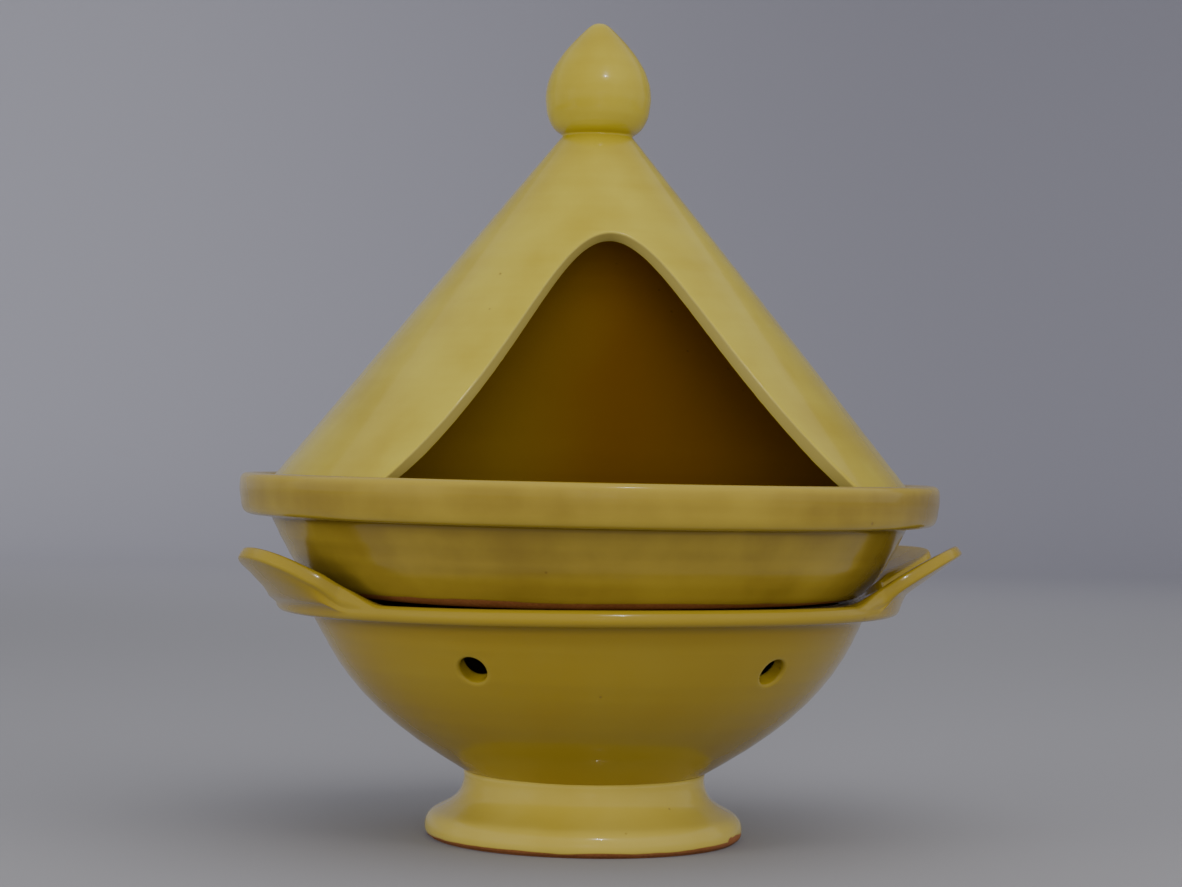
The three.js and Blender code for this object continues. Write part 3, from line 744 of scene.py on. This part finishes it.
# Studio: one pale sheet for floor and background, curved up behind the pot, and soft lamps, of which the low
# ones are hooded. The camera stands a metre and a bit away at the height of the rim, with a long lens.

SWEEP_WIDTH = 18.0
SWEEP_FRONT = -9.0
SWEEP_BACK = 4.4
SWEEP_BEND = 1.7
SWEEP_HEIGHT = 4.0
SWEEP_FADE = 1.0, 3.6
SWEEP_SIDES = -1.2, 1.2
SWEEP_ROUGHNESS = 0.9
# The sheet is one paper, but its colours paint light on it: its wall is paler than its floor, and paler at the
# left than at the right, as if lit more strongly there.
SWEEP_FLOOR = (0.296, 0.292, 0.311, 1)
SWEEP_WALL_LIT_LEFT = (0.545, 0.535, 0.590, 1)
SWEEP_WALL_SHADED_RIGHT = (0.355, 0.345, 0.395, 1)
CAMERA_AZIMUTH = math.radians(-5)
CAMERA_DISTANCE = 1.1675
CAMERA_HEIGHT = 0.1652
CAMERA_PITCH = math.radians(0.22)
CAMERA_ROLL = math.radians(1.2)
CAMERA_LENS, CAMERA_FILM = 82.23, 36.0
CAMERA_CLIP = 0.05, 50
HOOD = np.radians(150)
ROOM_COLOUR = (0.80, 0.82, 0.88, 1)
ROOM_STRENGTH = 0.64

bend_middle = SWEEP_BACK - SWEEP_BEND, SWEEP_BEND
ground = outline([(SWEEP_FRONT, 0)], [(0, 0)], bend(bend_middle, SWEEP_BEND, -90, 0, 24),
                 [(SWEEP_BACK, SWEEP_HEIGHT)])
sweep_mesh = bpy.data.meshes.new("pale_sweep")
sweep_points = [(x, y, z) for y, z in ground for x in (-SWEEP_WIDTH / 2, SWEEP_WIDTH / 2)]
sweep_mesh.from_pydata(sweep_points, [], quads(len(ground), 2, False).reshape(-1, 4).tolist())
sweep_mesh.polygons.foreach_set("use_smooth", np.ones(len(sweep_mesh.polygons), bool))
sweep = bpy.data.objects.new("pale_sweep", sweep_mesh)
bpy.context.scene.collection.objects.link(sweep)
paper = bpy.data.materials.new("pale_paper")
paper.use_nodes = True
paper.node_tree.nodes.clear()
sheet = Wash(paper.node_tree)
spot = sheet.node("ShaderNodeTexCoord", out="Object")
# Painted light on the sheet: paler at the left, darker to the right, and the wall paler than the floor.
sideways = sheet.node("ShaderNodeSeparateXYZ", (), {0: spot}, out="X").between(*SWEEP_SIDES)
backwards = sheet.node("ShaderNodeSeparateXYZ", (), {0: spot}, out="Y").between(*SWEEP_FADE)
tone = backwards.tint(SWEEP_FLOOR, sideways.tint(SWEEP_WALL_LIT_LEFT, SWEEP_WALL_SHADED_RIGHT))
matt = sheet.node("ShaderNodeBsdfPrincipled", (), {"Base Color": tone, "Roughness": SWEEP_ROUGHNESS})
sheet.node("ShaderNodeOutputMaterial", (), {"Surface": matt}, out=None)
sweep_mesh.materials.append(paper)


def aimed(toward):
    """The turn that points a lamp's or a camera's own -Z along a direction."""
    back = -toward / np.linalg.norm(toward)
    side = np.cross((0, 0, 1), back)
    side /= np.linalg.norm(side)
    over_head = np.cross(back, side)
    return Matrix([[side[i], over_head[i], back[i]] for i in range(3)]).to_4x4()


def lamp(name, place, aim, size, power, colour, lights=True, glints=False, spread=np.pi):
    """A square soft lamp at a place, turned to face a point. It lights what it reaches, shows as a glint in the
    glaze, or both. A spread under half a turn is a hood, which keeps light off the floor beside the lamp."""
    data = bpy.data.lights.new(name, "AREA")
    data.size, data.energy, data.color, data.spread = size, power, colour, spread
    made = bpy.data.objects.new(name, data)
    made.matrix_world = Matrix.Translation(place) @ aimed(np.array(aim) - np.array(place))
    made.visible_camera, made.visible_diffuse, made.visible_glossy = False, lights, glints
    bpy.context.scene.collection.objects.link(made)


lamp("soft_key", (0.6, -1.2, 2.1), (0, 0, 0.15), 3.0, 33, (1.0, 0.98, 0.94))
lamp("soft_fill", (-1.7, -0.9, 0.45), (0, 0, 0.1), 0.8, 11, (0.98, 0.98, 0.98), spread=HOOD)
lamp("side_fill", (1.6, -1.0, 0.45), (0, 0, 0.08), 0.8, 5.8, (1.0, 0.98, 0.95), spread=HOOD)
lamp("low_fill", (-0.1, -2.1, 0.35), (0, 0, 0.13), 0.6, 8.4, (1.0, 0.97, 0.92), spread=HOOD)
lamp("back_fill", (0.3, 1.9, 1.6), (0, 0, 0.15), 1.6, 5, (1.0, 0.98, 0.96))
lamp("small_glint", (0.2, -1.5, 1.6), (0, 0, 0.2), 0.12, 5, (1.0, 1.0, 1.0), False, True)
world = bpy.data.worlds.new("soft_room")
world.use_nodes = True
world.node_tree.nodes["Background"].inputs["Color"].default_value = ROOM_COLOUR
world.node_tree.nodes["Background"].inputs["Strength"].default_value = ROOM_STRENGTH
bpy.context.scene.world = world

lens = bpy.data.cameras.new("photo_camera")
lens.lens, lens.sensor_width = CAMERA_LENS, CAMERA_FILM
lens.clip_start, lens.clip_end = CAMERA_CLIP
camera = bpy.data.objects.new("photo_camera", lens)
facing = math.sin(CAMERA_AZIMUTH), -math.cos(CAMERA_AZIMUTH)
stand = CAMERA_DISTANCE * facing[0], CAMERA_DISTANCE * facing[1], CAMERA_HEIGHT
camera.matrix_world = (Matrix.Translation(stand) @ Matrix.Rotation(CAMERA_AZIMUTH, 4, "Z")
                       @ Matrix.Rotation(math.pi / 2 + CAMERA_PITCH, 4, "X")
                       @ Matrix.Rotation(CAMERA_ROLL, 4, "Z"))
bpy.context.scene.collection.objects.link(camera)
bpy.context.scene.camera = camera

bpy.context.view_layer.update()
